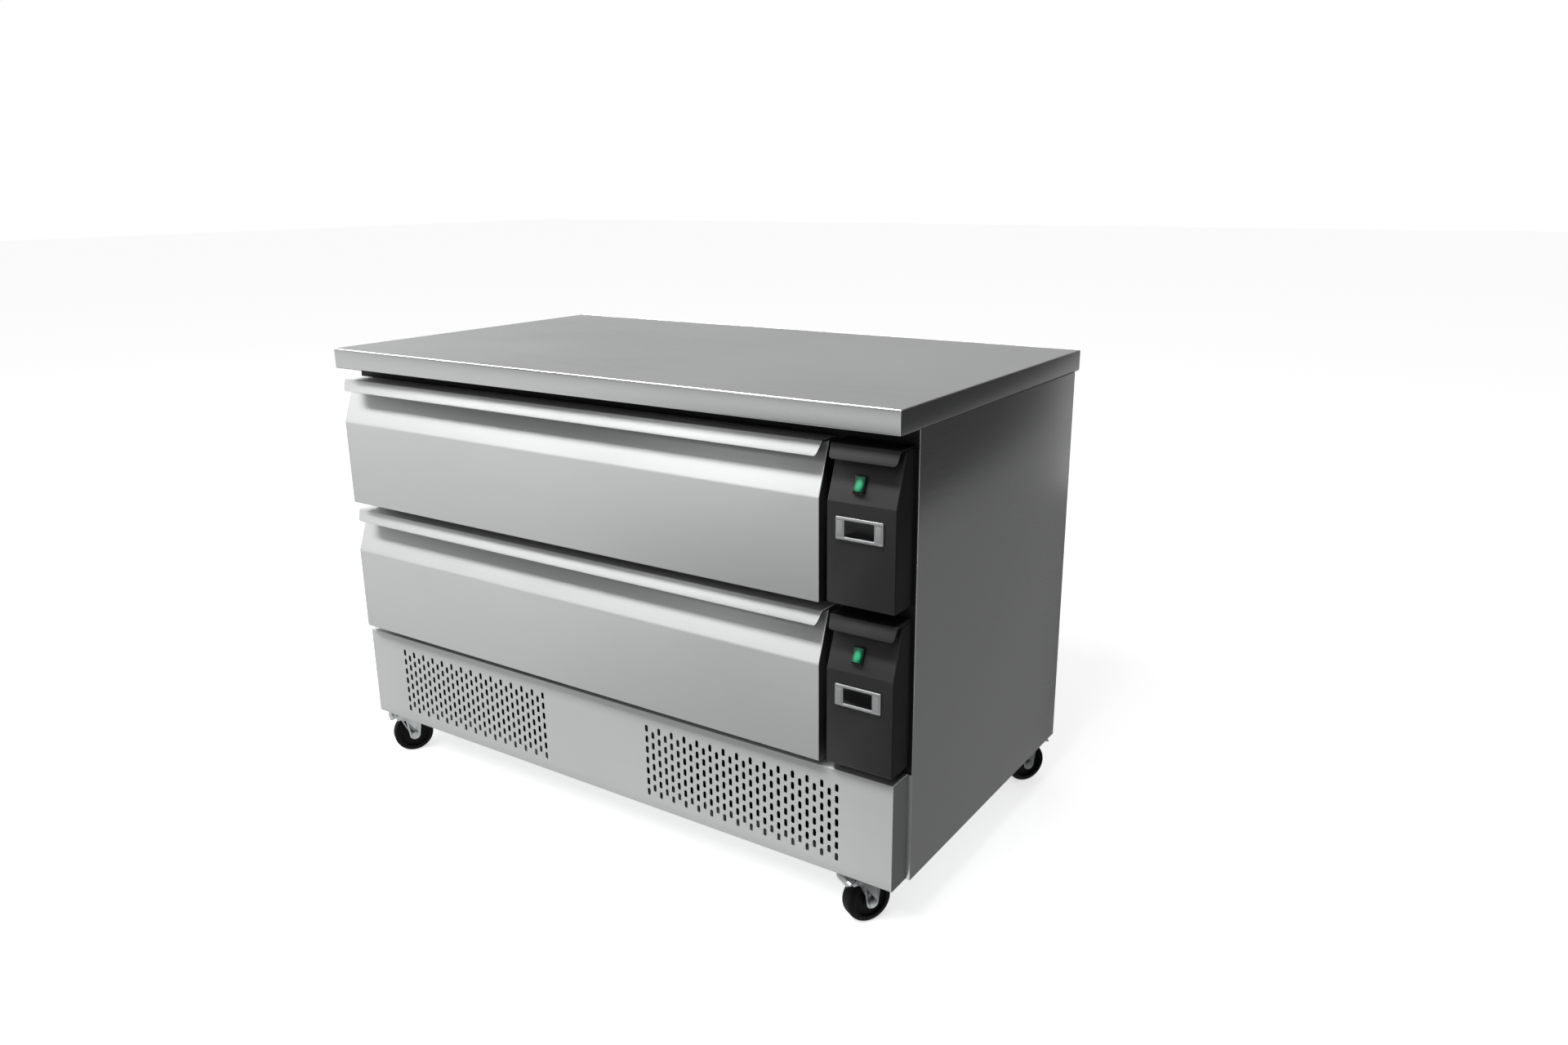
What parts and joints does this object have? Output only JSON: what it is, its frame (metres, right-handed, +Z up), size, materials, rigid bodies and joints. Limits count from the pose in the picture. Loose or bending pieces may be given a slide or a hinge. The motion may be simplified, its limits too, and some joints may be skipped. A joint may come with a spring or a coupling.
{
  "type": "undercounter drawer fridge freezer",
  "caption": "Low wide steel refrigerator on castors: stacked full-width insulated drawers under a worktop, dark control panels at one end and a slotted plinth below.",
  "frame": {"origin": "on the floor under the middle of the worktop", "axes": "+X to the right along the worktop's length, +Y to the back, +Z up; the front faces -Y"},
  "size_m": [1.245, 0.7, 0.865],
  "materials": {
    "stainless_steel": "brushed",
    "galvanised_steel": "dull",
    "zinc_plated_steel": "satin",
    "black_painted_steel": "satin",
    "black_plastic": "fine grain",
    "board": "raw",
    "rigid_foam": "matte",
    "grey_seal": "matte",
    "coil_aluminium": "rolled",
    "silver_plastic": "satin",
    "dark_window": "gloss",
    "green_plastic": "gloss",
    "wheel_rubber": "matte"
  },
  "bodies": {
    "cabinet": {"worktop_top": "stainless_steel", "left_side_panel": "stainless_steel", "right_side_panel": "stainless_steel", "plinth_grille": "stainless_steel", "back_panel": "galvanised_steel", "base_tray": "galvanised_steel", "machine_deck": "galvanised_steel", "service_partition": "galvanised_steel", "fixed_runners": "zinc_plated_steel", "castor_plates": "zinc_plated_steel", "castor_bolts": "zinc_plated_steel", "front_frame": "black_painted_steel", "compressors": "black_painted_steel", "upper_control_panel": "black_plastic", "lower_control_panel": "black_plastic", "switch_housings": "black_plastic", "fan_frames": "black_plastic", "cable_gland": "black_plastic", "worktop_core": "board", "insulated_lids": "rigid_foam", "evaporators": "coil_aluminium", "condensers": "coil_aluminium", "controller_cases": "silver_plastic", "display_windows": "dark_window"},
    "upper_drawer": {"upper_drawer_front_skin": "stainless_steel", "upper_drawer_front_core": "rigid_foam", "upper_drawer_tub": "rigid_foam", "upper_drawer_liner": "stainless_steel", "upper_drawer_gasket": "grey_seal", "upper_inner_runners": "zinc_plated_steel"},
    "upper_middle_runners": {"upper_middle_runners": "zinc_plated_steel"},
    "lower_drawer": {"lower_drawer_front_skin": "stainless_steel", "lower_drawer_front_core": "rigid_foam", "lower_drawer_tub": "rigid_foam", "lower_drawer_liner": "stainless_steel", "lower_drawer_gasket": "grey_seal", "lower_inner_runners": "zinc_plated_steel"},
    "lower_middle_runners": {"lower_middle_runners": "zinc_plated_steel"},
    "upper_rocker": {"upper_rocker": "green_plastic"},
    "upper_left_key": {"upper_left_key": "silver_plastic"},
    "upper_right_key": {"upper_right_key": "silver_plastic"},
    "lower_rocker": {"lower_rocker": "green_plastic"},
    "lower_left_key": {"lower_left_key": "silver_plastic"},
    "lower_right_key": {"lower_right_key": "silver_plastic"},
    "left_condenser_fan": {"left_condenser_fan": "black_plastic"},
    "right_condenser_fan": {"right_condenser_fan": "black_plastic"},
    "upper_lid_fan": {"upper_lid_fan": "black_plastic"},
    "lower_lid_fan": {"lower_lid_fan": "black_plastic"},
    "front_left_castor_fork": {"front_left_castor_fork": "zinc_plated_steel"},
    "front_left_castor_wheel": {"front_left_castor_wheel": "wheel_rubber"},
    "front_left_brake_pedal": {"front_left_brake_pedal": "zinc_plated_steel"},
    "front_right_castor_fork": {"front_right_castor_fork": "zinc_plated_steel"},
    "front_right_castor_wheel": {"front_right_castor_wheel": "wheel_rubber"},
    "front_right_brake_pedal": {"front_right_brake_pedal": "zinc_plated_steel"},
    "back_left_castor_fork": {"back_left_castor_fork": "zinc_plated_steel"},
    "back_left_castor_wheel": {"back_left_castor_wheel": "wheel_rubber"},
    "back_left_brake_pedal": {"back_left_brake_pedal": "zinc_plated_steel"},
    "back_right_castor_fork": {"back_right_castor_fork": "zinc_plated_steel"},
    "back_right_castor_wheel": {"back_right_castor_wheel": "wheel_rubber"},
    "back_right_brake_pedal": {"back_right_brake_pedal": "zinc_plated_steel"}
  },
  "joints": [
    {"name": "upper_drawer_slide", "type": "slide", "parent": "cabinet", "child": "upper_drawer", "axis": [0, -1, 0], "range_m": [0, 0.5]},
    {"name": "upper_middle_runner_slide", "type": "slide", "parent": "cabinet", "child": "upper_middle_runners", "axis": [0, -1, 0], "range_m": [0, 0.25]},
    {"name": "lower_drawer_slide", "type": "slide", "parent": "cabinet", "child": "lower_drawer", "axis": [0, -1, 0], "range_m": [0, 0.5]},
    {"name": "lower_middle_runner_slide", "type": "slide", "parent": "cabinet", "child": "lower_middle_runners", "axis": [0, -1, 0], "range_m": [0, 0.25]},
    {"name": "upper_rocker_tilt", "type": "hinge", "parent": "cabinet", "child": "upper_rocker", "pos_m": [0.551, -0.33903, 0.7469], "axis": [1, 0, 0], "range_deg": [0, 16]},
    {"name": "upper_left_key_press", "type": "slide", "parent": "cabinet", "child": "upper_left_key", "axis": [0, 1, 0], "range_m": [0, 0.0006], "stiffness_N_per_m": 600},
    {"name": "upper_right_key_press", "type": "slide", "parent": "cabinet", "child": "upper_right_key", "axis": [0, 1, 0], "range_m": [0, 0.0006], "stiffness_N_per_m": 600},
    {"name": "lower_rocker_tilt", "type": "hinge", "parent": "cabinet", "child": "lower_rocker", "pos_m": [0.551, -0.33903, 0.4819], "axis": [1, 0, 0], "range_deg": [0, 16]},
    {"name": "lower_left_key_press", "type": "slide", "parent": "cabinet", "child": "lower_left_key", "axis": [0, 1, 0], "range_m": [0, 0.0006], "stiffness_N_per_m": 600},
    {"name": "lower_right_key_press", "type": "slide", "parent": "cabinet", "child": "lower_right_key", "axis": [0, 1, 0], "range_m": [0, 0.0006], "stiffness_N_per_m": 600},
    {"name": "left_condenser_fan_spin", "type": "hinge", "parent": "cabinet", "child": "left_condenser_fan", "pos_m": [-0.32, -0.217, 0.1885], "axis": [0, 1, 0], "continuous": true},
    {"name": "right_condenser_fan_spin", "type": "hinge", "parent": "cabinet", "child": "right_condenser_fan", "pos_m": [0.32, -0.217, 0.1885], "axis": [0, 1, 0], "continuous": true},
    {"name": "upper_lid_fan_spin", "type": "hinge", "parent": "cabinet", "child": "upper_lid_fan", "pos_m": [0.226, 0.15, 0.7755], "axis": [0, 0, 1], "continuous": true},
    {"name": "lower_lid_fan_spin", "type": "hinge", "parent": "cabinet", "child": "lower_lid_fan", "pos_m": [0.226, 0.15, 0.5105], "axis": [0, 0, 1], "continuous": true},
    {"name": "front_left_castor_swivel", "type": "hinge", "parent": "cabinet", "child": "front_left_castor_fork", "pos_m": [-0.56, -0.268, 0.0931], "axis": [0, 0, 1], "continuous": true},
    {"name": "front_left_wheel_roll", "type": "hinge", "parent": "front_left_castor_fork", "child": "front_left_castor_wheel", "pos_m": [-0.575, -0.29398, 0.04], "axis": [0.866, -0.5, 0], "continuous": true},
    {"name": "front_left_brake_press", "type": "hinge", "parent": "front_left_castor_fork", "child": "front_left_brake_pedal", "pos_m": [-0.586, -0.31303, 0.085], "axis": [0.866, -0.5, 0], "range_deg": [0, 15]},
    {"name": "front_right_castor_swivel", "type": "hinge", "parent": "cabinet", "child": "front_right_castor_fork", "pos_m": [0.56, -0.268, 0.0931], "axis": [0, 0, 1], "continuous": true},
    {"name": "front_right_wheel_roll", "type": "hinge", "parent": "front_right_castor_fork", "child": "front_right_castor_wheel", "pos_m": [0.545, -0.29398, 0.04], "axis": [0.866, -0.5, 0], "continuous": true},
    {"name": "front_right_brake_press", "type": "hinge", "parent": "front_right_castor_fork", "child": "front_right_brake_pedal", "pos_m": [0.534, -0.31303, 0.085], "axis": [0.866, -0.5, 0], "range_deg": [0, 15]},
    {"name": "back_left_castor_swivel", "type": "hinge", "parent": "cabinet", "child": "back_left_castor_fork", "pos_m": [-0.56, 0.264, 0.0931], "axis": [0, 0, 1], "continuous": true},
    {"name": "back_left_wheel_roll", "type": "hinge", "parent": "back_left_castor_fork", "child": "back_left_castor_wheel", "pos_m": [-0.54279, 0.28858, 0.04], "axis": [-0.8192, 0.5736, 0], "continuous": true},
    {"name": "back_left_brake_press", "type": "hinge", "parent": "back_left_castor_fork", "child": "back_left_brake_pedal", "pos_m": [-0.53017, 0.3066, 0.085], "axis": [-0.8192, 0.5736, 0], "range_deg": [0, 15]},
    {"name": "back_right_castor_swivel", "type": "hinge", "parent": "cabinet", "child": "back_right_castor_fork", "pos_m": [0.56, 0.264, 0.0931], "axis": [0, 0, 1], "continuous": true},
    {"name": "back_right_wheel_roll", "type": "hinge", "parent": "back_right_castor_fork", "child": "back_right_castor_wheel", "pos_m": [0.57721, 0.28858, 0.04], "axis": [-0.8192, 0.5736, 0], "continuous": true},
    {"name": "back_right_brake_press", "type": "hinge", "parent": "back_right_castor_fork", "child": "back_right_brake_pedal", "pos_m": [0.58983, 0.3066, 0.085], "axis": [-0.8192, 0.5736, 0], "range_deg": [0, 15]}
  ],
  "couplings": [
    {"joint": "upper_middle_runner_slide", "follows": "upper_drawer_slide", "ratio": 0.5},
    {"joint": "lower_middle_runner_slide", "follows": "lower_drawer_slide", "ratio": 0.5}
  ]
}
